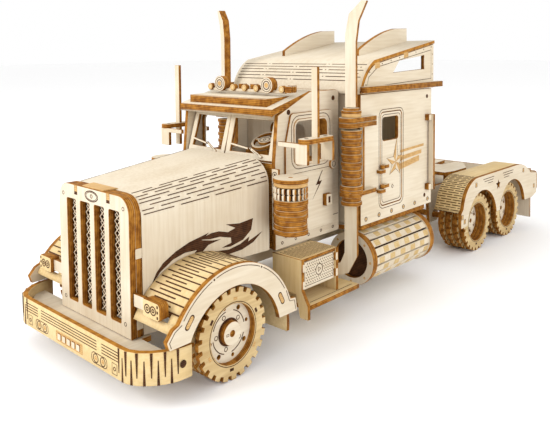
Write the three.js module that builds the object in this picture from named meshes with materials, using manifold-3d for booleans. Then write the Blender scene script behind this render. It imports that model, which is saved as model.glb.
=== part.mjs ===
// Wooden model kit of a conventional tractor truck with a sleeper cabin.
// Units are millimetres, +Z is up, the truck faces -Y and the driver's side is +X.
import * as THREE from 'three';
import { mergeVertices } from 'three/addons/utils/BufferGeometryUtils.js';
import Module from 'manifold-3d';

const wasm = await Module();
wasm.setup();

// Driving dimensions
const LENGTH = 315;
const HALF_WIDTH = 46;
const PLY = 1.6;
const FIT = 0.3;
const FRONT = -LENGTH / 2;
const REAR = LENGTH / 2;

const WHEEL_R = 16.3;
const WHEEL_BORE_R = 2.0;
const AXLE_R = 1.7;
const TREADS = 24;
const FRONT_AXLE_Y = -119.7;
const REAR_AXLES_Y = [76.6, 117.6];
const FRONT_WHEEL_X = [35, 45];
const REAR_WHEEL_X = [24.5, 41.3];
const KINGPIN_X = 29;
const STEER_ARM = 9.5;

const RAIL_X = 12;
const RAIL_Z = [24, 32.9];
const GRILLE_Y = -147;
const GRILLE_SLOTS_X = [-14.1, -4.7, 4.7, 14.1];
const HOOD_FRONT_Y = GRILLE_Y + 5.2;
const HOOD_REAR_Y = -82.8;
const ARCH_R = 18.8;
const COVER = { y: -119.2, z: 10.6, outer: 30.4, inner: 24.4 };

const CAB_X = 29;
const CAB_Y = [-80, -37.5];
const CAB_Z = [33.3, 98.5];
const SLEEPER_X = 40;
const SLEEPER_Y = [-36, 26];
const SLEEPER_Z = [36.3, 94.8];
const DOOR_Y = [-20.2, -2.2];
const DOOR_Z = [42.7, 85.7];
const DOOR_HINGE = { x: 41.2, y: -20.4 };

const STACK = { x: 39.3, y: -42 };
const CLEANER = { x: 39, y: -82 };
const MIRROR = { x: 43, y: -71 };
const TANK = { x: 33.9, z: 20.3 };
const REAR_FENDER_X = 44.5;

const truck = new THREE.Group();

// Colours of birch ply seen on its face, and seen on its burnt cut edges.
const FACE = { color: 0xe9d3a4, roughness: 0.75, metalness: 0 };
const EDGE = { color: 0xa3683a, roughness: 0.8, metalness: 0 };

// Adds one named piece to the truck.
function piece(name, geometry, look = FACE) {
  const mesh = new THREE.Mesh(geometry, new THREE.MeshStandardMaterial(look));
  mesh.name = name;
  truck.add(mesh);
  return mesh;
}

// Manifold solid of a closed geometry, and back.
function solid(geometry) {
  const clean = geometry.clone();
  clean.deleteAttribute('normal');
  clean.deleteAttribute('uv');
  const merged = mergeVertices(clean, 1e-4);
  return new wasm.Manifold(new wasm.Mesh({
    numProp: 3,
    vertProperties: new Float32Array(merged.attributes.position.array),
    triVerts: new Uint32Array(merged.index.array),
  }));
}

function toGeometry(manifold) {
  const mesh = manifold.getMesh();
  const geometry = new THREE.BufferGeometry();
  geometry.setAttribute('position', new THREE.BufferAttribute(mesh.vertProperties, 3));
  geometry.setIndex(new THREE.BufferAttribute(mesh.triVerts, 1));
  return geometry;
}

function join(...geometries) {
  return toGeometry(geometries.map(solid).reduce((a, b) => a.add(b)));
}

function cut(geometry, ...tools) {
  return toGeometry(tools.map(solid).reduce((a, b) => a.subtract(b), solid(geometry)));
}

// Mirror of a geometry in the truck's centre plane.
function mirrored(geometry) {
  const flipped = mergeVertices(geometry.clone().deleteAttribute('normal'), 1e-5);
  flipped.scale(-1, 1, 1);
  const index = flipped.index.array;
  for (let i = 0; i < index.length; i += 3) {
    [index[i + 1], index[i + 2]] = [index[i + 2], index[i + 1]];
  }
  return flipped;
}

// Adds a left piece and its mirror image on the right.
function pair(name, geometry, look = FACE) {
  piece(`${name}_l`, geometry, look);
  piece(`${name}_r`, mirrored(solidGeometry(geometry)), look);
}

function solidGeometry(geometry) {
  return toGeometry(solid(geometry));
}

// Points as vectors, wound anticlockwise.
function wound(points) {
  const vectors = points.map(([u, v]) => new THREE.Vector2(u, v));
  return THREE.ShapeUtils.area(vectors) < 0 ? vectors.reverse() : vectors;
}

function outline(points, holes = []) {
  const shape = new THREE.Shape(wound(points));
  for (const hole of holes) shape.holes.push(new THREE.Path(wound(hole).reverse()));
  return shape;
}

// Axis matrices that carry an outline's (u, v, depth) to the truck's axes.
const PLANES = {
  xy: new THREE.Matrix4(),
  xz: new THREE.Matrix4().set(1, 0, 0, 0, 0, 0, -1, 0, 0, 1, 0, 0, 0, 0, 0, 1),
  yz: new THREE.Matrix4().set(0, 0, 1, 0, 1, 0, 0, 0, 0, 1, 0, 0, 0, 0, 0, 1),
};

// A flat sheet part: its outline in a plane, between two depths on the third axis.
function sheet(plane, points, from, to, holes = []) {
  const depth = to - from;
  const geometry = new THREE.ExtrudeGeometry(outline(points, holes), { depth, bevelEnabled: false });
  geometry.translate(0, 0, plane === 'xz' ? -to : from);
  geometry.applyMatrix4(PLANES[plane]);
  return geometry;
}

function box(x, y, z) {
  const geometry = new THREE.BoxGeometry(x[1] - x[0], y[1] - y[0], z[1] - z[0]);
  geometry.translate((x[0] + x[1]) / 2, (y[0] + y[1]) / 2, (z[0] + z[1]) / 2);
  return geometry;
}

// Round bar along an axis ('x', 'y' or 'z') between two ends, centred on the other two axes.
function bar(axis, radius, from, to, a, b, sides = 20) {
  const geometry = new THREE.CylinderGeometry(radius, radius, to - from, sides);
  const middle = (from + to) / 2;
  if (axis === 'x') geometry.rotateZ(Math.PI / 2).translate(middle, a, b);
  if (axis === 'y') geometry.translate(a, middle, b);
  if (axis === 'z') geometry.rotateX(Math.PI / 2).translate(a, b, middle);
  return geometry;
}

function rectangle(u0, v0, u1, v1) {
  return [[u0, v0], [u1, v0], [u1, v1], [u0, v1]];
}

function rounded(u0, v0, u1, v1, r, steps = 3) {
  const corners = [[u1 - r, v1 - r, 0], [u0 + r, v1 - r, 90], [u0 + r, v0 + r, 180], [u1 - r, v0 + r, 270]];
  return corners.flatMap(([cu, cv, start]) => arc(cu, cv, r, start, start + 90, steps));
}

// Points on an arc, angles in degrees from the +u axis.
function arc(cu, cv, r, from, to, steps) {
  const points = [];
  for (let i = 0; i <= steps; i += 1) {
    const angle = THREE.MathUtils.degToRad(from + (to - from) * i / steps);
    points.push([cu + r * Math.cos(angle), cv + r * Math.sin(angle)]);
  }
  return points;
}

function circle(cu, cv, r, sides = 16) {
  return arc(cu, cv, r, 0, 360 - 360 / sides, sides - 1);
}

// Solid of revolution about Z from [radius, height] pairs that start and end on the axis.
function turned(profile, sides = 24) {
  const points = profile.map(([r, h]) => new THREE.Vector2(r, h));
  return new THREE.LatheGeometry(points, sides).rotateX(Math.PI / 2);
}

// ---------------------------------------------------------------- chassis

function chassis() {
  const lobe = (y, low, half) => [[y - half, RAIL_Z[0]], [y - half + 1.5, low], [y + half - 1.5, low],
    [y + half, RAIL_Z[0]]];
  const rail = [
    [-139, RAIL_Z[0]], ...lobe(FRONT_AXLE_Y, 19.6, 5),
    ...REAR_AXLES_Y.flatMap((y) => lobe(y, 12, 6)),
    [155, RAIL_Z[0]], [155, RAIL_Z[1]], [-136, RAIL_Z[1]], [-139, RAIL_Z[1] - 4],
  ];
  const bores = REAR_AXLES_Y.map((y) => circle(y, WHEEL_R, WHEEL_BORE_R));
  pair('chassis_rail', sheet('yz', rail, RAIL_X, RAIL_X + 2, bores));

  const windows = [-70, -20, 30, 70].map((y) => rounded(-7.5, y, 7.5, y + 30, 2, 2));
  const ladder = sheet('xy', rectangle(-RAIL_X + FIT, -96, RAIL_X - FIT, 142), 27, 29, windows);
  piece('chassis_ladder', ladder);

  const beam = box([-KINGPIN_X, KINGPIN_X], [FRONT_AXLE_Y - 2.5, FRONT_AXLE_Y + 2.5], [13.4, 19.2]);
  const ends = [-1, 1].map((s) => bar('z', 3.2, 13.4, 19.2, s * KINGPIN_X, FRONT_AXLE_Y));
  const bored = [-1, 1].map((s) => bar('z', 1.5, 12, 21, s * KINGPIN_X, FRONT_AXLE_Y, 16));
  piece('front_axle', cut(join(beam, ...ends), ...bored), EDGE);

  const y = FRONT_AXLE_Y;
  const knuckle = join(
    bar('z', 1.2, 10.8, 21, KINGPIN_X, y, 16),
    sheet('xy', [[34.3, y - 2.6], [34.3, y + 2.6], ...arc(KINGPIN_X, y, 2.6, 90, 270, 8)], 19.8, 21.4),
    sheet('xy', [[34.3, y - 2.6], [34.3, y + 2.6], ...arc(KINGPIN_X, y, 2.6, 90, 270, 8)], 10.4, 12.2),
    box([32.8, 34.3], [y - 2.6, y + 2.6], [10.4, 21.4]),
    bar('x', AXLE_R, 33.5, 43.6, y, WHEEL_R, 24),
    box([KINGPIN_X - 1.5, KINGPIN_X + 1.5], [y, y + STEER_ARM + 1.5], [10.4, 12.2]),
    bar('z', 0.8, 11, 16, KINGPIN_X, y + STEER_ARM, 12),
  );
  pair('steering_knuckle', knuckle, EDGE);

  const rodY = y + STEER_ARM;
  const pinHoles = [-1, 1].map((s) => circle(s * KINGPIN_X, rodY, 1.5, 12));
  piece('tie_rod', sheet('xy', rounded(-31.5, rodY - 2.4, 31.5, rodY + 2.4, 2), 12.9, 14.9, pinHoles));
}

// Square-lugged tyre ring with a dished hub disc and a centre boss, turning about X.
function wheel(x0, x1, dish) {
  const treadTurn = 360 / TREADS;
  const tip = treadTurn * 0.29;
  const top = WHEEL_R / Math.cos(THREE.MathUtils.degToRad(tip));
  const ring = [];
  for (let i = 0; i < TREADS; i += 1) {
    const middle = 270 + i * treadTurn;
    ring.push(...arc(0, 0, top, middle - tip, middle + tip, 1));
    ring.push(...arc(0, 0, WHEEL_R - 1.5, middle + tip, middle + treadTurn - tip, 1));
  }
  const bore = circle(0, 0, WHEEL_BORE_R, 24);
  return join(
    sheet('yz', ring, x0, x1, [circle(0, 0, 10.8, 24)]),
    sheet('yz', circle(0, 0, 11.2, 24), x0 + 2, x1 - dish, [bore]),
    sheet('yz', circle(0, 0, 4.4, 24), x0 + 2, x1 - dish + 2, [bore]),
  );
}

function wheels() {
  const front = wheel(...FRONT_WHEEL_X, 2.5).translate(0, FRONT_AXLE_Y, WHEEL_R);
  pair('front_wheel', front);
  REAR_AXLES_Y.forEach((y, i) => {
    const axle = bar('x', AXLE_R, -REAR_WHEEL_X[1] + 6, REAR_WHEEL_X[1] - 6, y, WHEEL_R, 24);
    piece(`rear_axle_${i + 1}`, axle, EDGE);
    pair(`rear_wheel_${i + 1}`, wheel(...REAR_WHEEL_X, 6).translate(0, y, WHEEL_R));
  });
}

// ---------------------------------------------------------------- front end

function frontEnd() {
  const bend = [[35, FRONT], [45.5, -148.8], [HALF_WIDTH, -139.5]];
  const inner = [[HALF_WIDTH - 2, -139.5], [43.6, -147.8], [34.4, FRONT + 2]];
  const half = [...bend, ...inner];
  const whole = [...half, ...half.slice().reverse().map(([u, v]) => [-u, v])];
  piece('front_bumper', sheet('xy', whole, 9, 19.7));

  const deck = [[-33.5, FRONT + 2.4], [33.5, FRONT + 2.4], [43, -147.6], [43.2, -143.6], [24, -143.6],
    [24, -139.4], [-24, -139.4], [-24, -143.6], [-43.2, -143.6], [-43, -147.6]];
  piece('front_deck', sheet('xy', deck, 14, 16));

  const top = 65.3;
  const face = [[-23, 16.3], [23, 16.3], ...arc(17, top - 6, 6, 0, 90, 4), ...arc(-17, top - 6, 6, 90, 180, 4)];
  const slots = GRILLE_SLOTS_X.map((x) => rounded(x - 3.2, 20.5, x + 3.2, 59.8, 1, 1));
  const rim = sheet('xz', face, GRILLE_Y + 2.5, GRILLE_Y + 4.9, [rounded(-21, 18.2, 21, 61.4, 4)]);
  piece('grille_surround', join(sheet('xz', face, GRILLE_Y, GRILLE_Y + 2.6, slots), rim));

  const diamonds = [];
  for (const x of GRILLE_SLOTS_X) {
    for (let z = 24.5; z < 58; z += 6) diamonds.push([[x - 2.4, z], [x, z - 2.2], [x + 2.4, z], [x, z + 2.2]]);
  }
  const mesh = sheet('xz', rectangle(-19, 20, 19, 59.4), GRILLE_Y + 2.9, GRILLE_Y + 4.4, diamonds);
  piece('grille_mesh', mesh, EDGE);

  const lamp = join(
    box([30.5, 39.5], [-147.4, -143.4], [27.2, 33.2]),
    box([23.5, 31], [-146, -144.4], [28, 32.4]),
    bar('y', 2.2, -148.2, -147, 33.2, 30.2, 16),
    bar('y', 1.5, -148, -147, 37.2, 30.2, 12),
  );
  pair('headlamp', lamp);
}

// Cross-section of the bonnet skin: straight sides and rounded shoulders under a flat top.
function bonnetRing(y, half, top, radius) {
  const shoulder = (h, t, r) => [[h, 16.3], ...arc(h - r, t - r, r, 0, 90, 6),
    ...arc(-h + r, t - r, r, 90, 180, 6), [-h, 16.3]];
  const outer = shoulder(half, top, radius);
  const inner = shoulder(half - PLY, top - PLY, radius - PLY).reverse();
  return [...outer, ...inner].map(([x, z]) => [x, y, z]);
}

// Closed solid between two matching rings, whose ring is an outer path followed by the inner one.
function loft(a, b) {
  const count = a.length;
  const half = count / 2;
  const positions = [...a, ...b].flat();
  const index = [];
  for (let i = 0; i < count; i += 1) {
    const j = (i + 1) % count;
    index.push(i, i + count, j, j, i + count, j + count);
  }
  for (let i = 0; i < half - 1; i += 1) {
    const k = count - 1 - i;
    index.push(i, i + 1, k, k, i + 1, k - 1);
    index.push(i + count, k + count, i + 1 + count, k + count, k - 1 + count, i + 1 + count);
  }
  const geometry = new THREE.BufferGeometry();
  geometry.setAttribute('position', new THREE.Float32BufferAttribute(positions, 3));
  geometry.setIndex(index);
  return geometry;
}

function bonnet() {
  const skin = loft(bonnetRing(HOOD_FRONT_Y, 23, 65.3, 8), bonnetRing(HOOD_REAR_Y, 28, 71, 10));
  const wheelSpace = bar('x', 14, -60, 60, FRONT_AXLE_Y, WHEEL_R, 28);
  const rearSpace = box([-60, 60], [-100, -70], [0, 34]);
  piece('hood', cut(skin, wheelSpace, rearSpace));

  const arch = (r, from, to) => arc(COVER.y, COVER.z, r, from, to, 14);
  const plate = [...arch(COVER.outer, 27.7, 146.5), [-146.9, 26.4], [-149.6, 23.2], [-148.6, 20.3],
    ...arch(COVER.inner, 156.6, 10.9), [-86.6, 15.2], [-87.6, 20.5], [-90.5, 20.9]];
  const overWheel = [...arch(COVER.outer, -6, 154), ...arch(COVER.outer - 1.8, 154, -6)];
  const fender = join(
    sheet('yz', plate, HALF_WIDTH - 2, HALF_WIDTH),
    cut(sheet('yz', overWheel, 23.4, HALF_WIDTH - 1), box([30, 40], [-150, -142.9], [26.6, 36])),
  );
  const plan = [[0, HOOD_FRONT_Y - 4], [22.97, HOOD_FRONT_Y - 4], [28.3, HOOD_REAR_Y], [0, HOOD_REAR_Y]];
  pair('front_fender', cut(fender, sheet('xy', plan, 10, 60)));
}

// ---------------------------------------------------------------- cab

function windshield() {
  const pane = (side) => {
    const width = 26.6;
    const glassHole = [[3, 2.6], [width - 2.6, 2.6], [width - 2.6, 17], [3, 17]];
    const hole = glassHole.map(([u, v]) => [u * side, v]);
    const face = rectangle(-side, 0, side * width, 19.6);
    const frame = sheet('xz', face, 0, PLY, [hole]);
    const wiper = box([4, 20].map((u) => u * side).sort((a, b) => a - b), [-0.7, 0.2], [1.2, 2.4]);
    const blade = join(frame, wiper);
    blade.rotateX(THREE.MathUtils.degToRad(-15.5));
    blade.rotateZ(THREE.MathUtils.degToRad(5 * side));
    return blade.translate(0, -81.2, 69.3);
  };
  piece('windshield_frame', join(pane(1), pane(-1)));
}

function cabSides() {
  const [front, rear] = CAB_Y;
  const side = [[front, CAB_Z[0]], [rear, CAB_Z[0]], [rear, 97], [-57.5, 97], [-78, 88.2], [-80, 69]];
  const door = [[-74.5, 37.5], [-43, 37.5], [-43, 88.6], [-71.5, 88.6], [-74.5, 76]];
  const opening = rounded(-69, 66.5, -46.5, 86, 3);
  const wall = join(
    sheet('yz', side, CAB_X - 2, CAB_X, [opening]),
    sheet('yz', door, CAB_X - 0.5, CAB_X + 1, [opening]),
    box([CAB_X, CAB_X + 3.2], [-50.5, -46.5], [47, 52]),
    bar('x', 2, CAB_X - 0.5, CAB_X + 2, -43.2, 64, 12),
  );
  pair('cab_side', wall);
}

function cabShell() {
  const inside = CAB_X - 2 - FIT;
  const floor = [[-inside, -77.6], [inside, -77.6], [inside, -37.2], [37.6, -31.8], [37.6, 23.5],
    [-37.6, 23.5], [-37.6, -31.8], [-inside, -37.2]];
  const bulkhead = sheet('xz', rectangle(-inside, 33.2, inside, 68.4), -79.2, -77.5);
  piece('floor_and_bulkhead', join(sheet('xy', floor, 33.2, 35.2), bulkhead));
  const window = rounded(-11, 62, 11, 80, 3);
  piece('cab_back', sheet('xz', rectangle(-inside, 35.6, inside, 96.6), -39.4, -37.8, [window]));
  cabSides();

  const roofRear = -38;
  const slope = [[-81.2, 88.9], [-57.5, 97.4], [roofRear, 97.4], [roofRear, 99], [-57.8, 99], [-81.6, 90.6]];
  const crown = [[-79.4, 90.4], [-79.4, 95], [-62, 95.5], [-62, 94]];
  piece('cab_roof_visor', join(sheet('yz', slope, -28.7, 28.7), sheet('yz', crown, -24, 24)), EDGE);

  const lampY = [-68.5, -65.8];
  const lamps = [-22.3, -7.3, 0, 7.3, 22.3].map((x) => bar('y', 1.5, ...lampY, x, 98.2, 12));
  const horns = [-14.7, 14.7].map((x) => bar('y', 3.4, lampY[0] - 1, lampY[1], x, 99.8, 16));
  piece('roof_lamps', join(box([-23.5, 23.5], [-67.5, -66], [96.5, 97.8]), ...lamps, ...horns));
}

function cabInside() {
  const bench = [[-60, 35.6], [-43, 35.6], [-41, 66], [-44.5, 66], [-46.5, 47], [-60, 46]];
  piece('seat', sheet('yz', bench, -23, 23));
  const rim = bar('z', 6.5, -0.8, 0.8, 0, 0, 20);
  const column = bar('z', 1, -13, 0, 0, 0, 10);
  const steering = join(rim, column);
  steering.rotateX(THREE.MathUtils.degToRad(28)).translate(10.5, -66, 75);
  piece('steering_wheel', steering);
}

function cabOutside() {
  const { x, y } = MIRROR;
  const plate = [[x - 3.4, 70], [x + 2.5, 70], [x + 2.5, 78.2], [CAB_X + 1.3, 78.2], [CAB_X + 1.3, 76.2],
    [x - 3.4, 76.2]];
  const mirror = join(
    sheet('xy', rounded(x - 3, y - 12.3, x + 3, y + 12.3, 1.5, 2), 78, 80),
    sheet('xz', plate, y - 9.8, y - 8.2),
    sheet('xz', plate, y + 8.2, y + 9.8),
    box([x - 1, x + 1], [y - 1, y + 1], [69.5, 108]),
  );
  pair('mirror', mirror);

  const cleaner = turned([[0, 43], [6.4, 43], [7, 44], [7, 58], [6.2, 58], [6.2, 63], [6.8, 63], [6.8, 65], [0, 65]]);
  const strap = box([CAB_X + FIT - CLEANER.x, -5], [-0.8, 0.8], [46, 60]);
  pair('air_cleaner', join(cleaner, strap).translate(CLEANER.x, CLEANER.y, 0), EDGE);
}

// ---------------------------------------------------------------- exhausts

function exhausts() {
  const profile = [[0, 47]];
  for (let i = 0; i < 9; i += 1) {
    const z = 47 + i * 3.7;
    profile.push([4.6, z], [4.6, z + 2.6], [3.9, z + 2.6], [3.9, z + 3.7]);
  }
  profile.push([4, 80.3], [4, 89.5], [0, 89.5]);
  const ridges = turned(profile, 12).translate(STACK.x, STACK.y, 0);
  const clamp = (z0, z1) => box([SLEEPER_X + FIT, SLEEPER_X + 3], [STACK.y, -23], [z0, z1]);
  pair('muffler', join(ridges, clamp(81, 85.6), clamp(51, 53)), EDGE);

  // Flat pipes stand edge on to the corner of the cab, in a plane turned by 22 degrees.
  const turn = (geometry) => geometry.rotateZ(THREE.MathUtils.degToRad(22)).translate(STACK.x, STACK.y, 0);
  const upper = [[-2.3, 89.8], [2.3, 89.8], [2.3, 118], [3.4, 127], [7, 135.4], [4.8, 135.6], [-0.6, 130],
    [-2.3, 121]];
  pair('stack_pipe', turn(sheet('xz', upper, -1.7, 1.7)));
  const lower = [[-2.7, 46.7], [-2.7, 26], [-4.5, 21.5], [-8, 19.5], [-6, 15.4], [-1, 17], [2.7, 24.5], [2.7, 46.7]];
  pair('down_pipe', turn(sheet('xz', lower, -1.6, 1.6)));
}

// ---------------------------------------------------------------- sleeper

function curveTop(offset, steps = 6) {
  const start = new THREE.Vector2(-36.8 + offset, 95.1);
  const knee = new THREE.Vector2(-25.4 + offset * 0.5, 110 - offset);
  const control = new THREE.Vector2(-34.5 + offset, 105.5 - offset * 0.6);
  const curve = new THREE.QuadraticBezierCurve(start, control, knee);
  return curve.getPoints(steps).map((p) => [p.x, p.y]);
}

function sleeper() {
  const [front, rear] = SLEEPER_Y;
  const [low, high] = SLEEPER_Z;
  const outer = SLEEPER_X;
  const inner = SLEEPER_X - 2;
  const doorway = rectangle(DOOR_Y[0] - 0.4, DOOR_Z[0] - 0.4, DOOR_Y[1] + 0.4, DOOR_Z[1] + 0.4);
  const lugs = [58.2, 49.2].flatMap((z) => [
    box([outer - 0.3, outer + 2.3], [-23.5, -20.8], [z, z + 1.6]),
    box([outer + 0.3, outer + 2.3], [-21, -19.4], [z, z + 1.6]),
  ]);
  const pins = [58.2, 49.2].map((z) => bar('z', 0.6, z + 1, z + 3.4, DOOR_HINGE.x, DOOR_HINGE.y, 10));
  const rail = join(
    box([outer + 1.5, outer + 3], [22, 23.5], [44, 82]),
    box([outer - 0.3, outer + 2], [22, 23.5], [44, 47]),
    box([outer - 0.3, outer + 2], [22, 23.5], [79, 82]),
  );
  const wall = sheet('yz', rectangle(front, low, rear, high), inner, outer, [doorway]);
  pair('sleeper_side', join(wall, ...lugs, ...pins, rail));

  const window = rounded(-18.4, 72.6, -5, 83.2, 1.5, 2);
  const leaf = sheet('yz', rounded(DOOR_Y[0], DOOR_Z[0], DOOR_Y[1], DOOR_Z[1], 2.5), inner, outer - 0.1, [window]);
  const knuckles = [60.2, 51.2].map((z) => join(
    bar('z', 1.1, z, z + 1.6, DOOR_HINGE.x, DOOR_HINGE.y, 16),
    box([outer - 0.3, DOOR_HINGE.x + 0.9], [DOOR_HINGE.y + 0.1, -17.2], [z, z + 1.6]),
  ));
  const bores = [60.2, 51.2].map((z) => bar('z', 0.9, z - 0.5, z + 2, DOOR_HINGE.x, DOOR_HINGE.y, 12));
  pair('sleeper_door', cut(join(leaf, ...knuckles), ...bores));

  const across = inner - FIT;
  piece('sleeper_front', sheet('xz', rectangle(-across, 35.6, across, 94.6), -34, -32.4));
  piece('sleeper_back', sheet('xz', rectangle(-across, 35.6, across, 94.6), 24, 25.6));

  const roofOuter = [...curveTop(0), [29, 119]];
  const roofInner = [...curveTop(PLY), [29, 119 - PLY]].reverse();
  const fin = [[-15, 111], [-15, 114.4], ...arcFin(), [28, 125.6], [28, 118.2]];
  const fins = [-1, 1].map((s) => sheet('yz', fin, s * 23.5 - 1, s * 23.5 + 1));
  piece('sleeper_roof', join(sheet('yz', [...roofOuter, ...roofInner], -outer, outer), ...fins));

  const gable = [[-34.8, 95.1], ...curveTop(PLY + FIT).slice(1), [28, 119 - PLY - FIT - 0.2], [28, 95.1]];
  const pane = [[-9.7, 103.7], [18.8, 104.7], [18.8, 111.6], [-4.2, 109.3]];
  pair('roof_side', join(
    sheet('yz', gable, inner, outer, [pane]),
    box([outer - 0.3, outer + 3], [-33.8, 35], [95.6, 98.4]),
    box([outer + FIT, outer + 3], [-37, -33.4], [95.6, 98.4]),
  ));
}

// Upper edge of a roof fin, rising in an arc from the front tip.
function arcFin() {
  const start = new THREE.Vector2(-15, 114.4);
  const control = new THREE.Vector2(2, 123.5);
  const end = new THREE.Vector2(17, 125.2);
  return new THREE.QuadraticBezierCurve(start, control, end).getPoints(5).slice(1).map((p) => [p.x, p.y]);
}

// ---------------------------------------------------------------- side lockers and tanks

function lockers() {
  const frameFront = [[27.5, 18], [40, 18], [42, 9], [HALF_WIDTH, 9], [HALF_WIDTH, 14.6], [43, 20], [43, 32.4],
    [27.5, 32.4]];
  const frameRear = [[27.5, 12], [43, 12], [43, 32.4], [27.5, 32.4]];
  const locker = join(
    box([28, 42], [-79.5, -57], [19.5, 31.8]),
    sheet('xz', frameFront, -80.5, -78.5),
    sheet('xz', frameRear, -58.5, -56.5),
    box([30, HALF_WIDTH - 0.3], [-79.5, -45.5], [12.4, 14.4]),
  );
  pair('battery_box', locker);

  const profile = [[0, -31.5], [8, -31.5], [8, -35], [12.1, -35], [12.1, -31], [10.6, -31], [10.6, 15],
    [12.1, 15], [12.1, 18.6], [2, 18.6], [2, 27], [0, 27]];
  const tank = turned(profile, 24);
  tank.rotateX(-Math.PI / 2).translate(TANK.x, 0, TANK.z);
  pair('fuel_tank', tank);
}

// ---------------------------------------------------------------- rear end

function rearEnd() {
  const x = REAR_FENDER_X;
  const top = [[50.8, 26], ...arc(70.5, 25.5, 17.5, 180, 90, 6).slice(1), ...arc(124.5, 11, 32, 90, 50, 5),
    [155.3, 34]];
  const under = top.map(([y, z], i) => [y + (i < 4 ? PLY : 0), z - (i < 4 ? 0 : PLY)]);
  const plate = [...top, [155.3, 21], [148, 19], [97, 19], [50.8, 17.9]];
  const arches = REAR_AXLES_Y.map((y) => bar('x', ARCH_R, x - 4, x + 2, y, WHEEL_R, 28));
  const fender = join(
    cut(sheet('yz', plate, x - 2, x), ...arches),
    sheet('yz', [...top, ...under.slice().reverse()], 28, x - 1),
    sheet('xz', rectangle(28, 6, x - 1, 37.5), 146.8, 148.2),
  );
  pair('rear_fender', fender);

  const wheelPlate = [[-17, 84], [17, 84], [19, 92], [19, 108], [9, 124], [4, 124], [3, 108], [-3, 108], [-4, 124],
    [-9, 124], [-19, 108], [-19, 92]];
  const cheeks = [-1, 1].map((s) => box([s * 13 - 1, s * 13 + 1], [92, 108], [33.3, 39]));
  piece('fifth_wheel', join(sheet('xy', wheelPlate, 38.5, 40.5), ...cheeks));
  piece('tail_bar', sheet('xz', rounded(-44, 22, 44, 34.6, 2), 155.7, REAR));
}

chassis();
wheels();
frontEnd();
bonnet();
windshield();
cabShell();
cabInside();
cabOutside();
exhausts();
sleeper();
lockers();
rearEnd();

export default truck;
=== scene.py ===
"""Wooden model kit of a tractor truck with a sleeper cabin, glued and slotted from laser-cut plywood."""
import math

import bmesh
import bpy
from mathutils import Matrix, Vector


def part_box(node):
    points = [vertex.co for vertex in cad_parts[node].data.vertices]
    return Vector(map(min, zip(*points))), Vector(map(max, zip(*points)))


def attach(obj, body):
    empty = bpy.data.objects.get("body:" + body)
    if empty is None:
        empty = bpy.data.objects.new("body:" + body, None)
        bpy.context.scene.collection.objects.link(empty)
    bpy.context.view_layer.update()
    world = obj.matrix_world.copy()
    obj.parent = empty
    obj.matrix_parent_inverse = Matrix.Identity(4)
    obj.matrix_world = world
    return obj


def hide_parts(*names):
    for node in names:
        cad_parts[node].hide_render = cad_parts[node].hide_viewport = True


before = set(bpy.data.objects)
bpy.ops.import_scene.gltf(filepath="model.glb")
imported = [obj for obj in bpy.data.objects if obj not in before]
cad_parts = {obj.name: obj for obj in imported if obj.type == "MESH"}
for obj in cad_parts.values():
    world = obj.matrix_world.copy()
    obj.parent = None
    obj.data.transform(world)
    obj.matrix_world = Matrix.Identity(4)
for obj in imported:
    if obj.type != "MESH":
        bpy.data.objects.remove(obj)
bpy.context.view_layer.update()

# ------------------------------------------------------------------ camera and light
# The truck is seen from low down in front of its left headlamp, on a pale table. A soft key lamp
# stands in front of it, a side lamp on its left, a weak one above, and the room fills the shadows.
TURN, RISE, ROLL = (math.radians(a) for a in (44.2, 3.4, -0.6))
ahead = Vector((-math.sin(TURN) * math.cos(RISE), math.cos(TURN) * math.cos(RISE), -math.sin(RISE)))
level = Vector((math.cos(TURN), math.sin(TURN), 0))
upward = level.cross(ahead)
across = level * math.cos(ROLL) + upward * math.sin(ROLL)
upright = upward * math.cos(ROLL) - level * math.sin(ROLL)
camera_data = bpy.data.cameras.new("camera")
camera_data.lens = 42.45
camera_data.shift_x = 0.0387
camera_data.shift_y = -0.228
camera = bpy.data.objects.new("camera", camera_data)
turned_to = Matrix((across, upright, -ahead)).transposed().to_4x4()
camera.matrix_world = Matrix.Translation((0.2042, -0.2721, 0.1145)) @ turned_to
bpy.context.collection.objects.link(camera)
bpy.context.scene.camera = camera


def lamp(name, place, size, power):
    """A square soft lamp aimed at the middle of the truck."""
    data = bpy.data.lights.new(name, "AREA")
    data.size = size
    data.energy = power
    source = bpy.data.objects.new(name, data)
    source.location = place
    source.rotation_euler = (Vector((0, -0.02, 0.05)) - Vector(place)).to_track_quat("-Z", "Y").to_euler()
    bpy.context.collection.objects.link(source)


lamp("key lamp", (-0.3, -0.95, 0.6), 0.45, 7.5)
lamp("side lamp", (0.9, -0.1, 0.4), 0.7, 3.2)
lamp("top lamp", (-0.4, 0.5, 0.9), 0.9, 0.7)
world = bpy.data.worlds.new("room")
world.use_nodes = True
world.node_tree.nodes["Background"].inputs["Color"].default_value = (1, 1, 1, 1)
world.node_tree.nodes["Background"].inputs["Strength"].default_value = 1.0
bpy.context.scene.world = world
bpy.context.scene.view_settings.view_transform = "Standard"

# ------------------------------------------------------------------ chassis
# Two slotted side rails and a ladder sheet between them carry everything. The front axle beam, its
# knuckles, the tie rod and the rear axle rods hang below. All are thin laser-cut ply with a smooth
# cream face, and the laser burns every cut edge brown, where the layers show.
PALE = ((0.59, 0.49, 0.35, 1), (0.68, 0.595, 0.46, 1))
BURNT = ((0.15, 0.045, 0.004, 1), (0.43, 0.19, 0.028, 1))
PLY_LAYER = 0.00075


def ramp_between(tree, factor, colours, low=0.3, high=0.7):
    """Colour ramp fed by factor that runs between two colours."""
    ramp = add_node(tree, "ValToRGB", Fac=factor)
    for element, place, colour in zip(ramp.color_ramp.elements, (low, high), colours):
        element.position = place
        element.color = colour
    return ramp.outputs["Color"]


def feed(tree, value, socket):
    """Links value to a node's socket, or sets it there if it is a constant."""
    if hasattr(value, "is_linked"):
        tree.links.new(value, socket)
    else:
        socket.default_value = value


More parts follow.
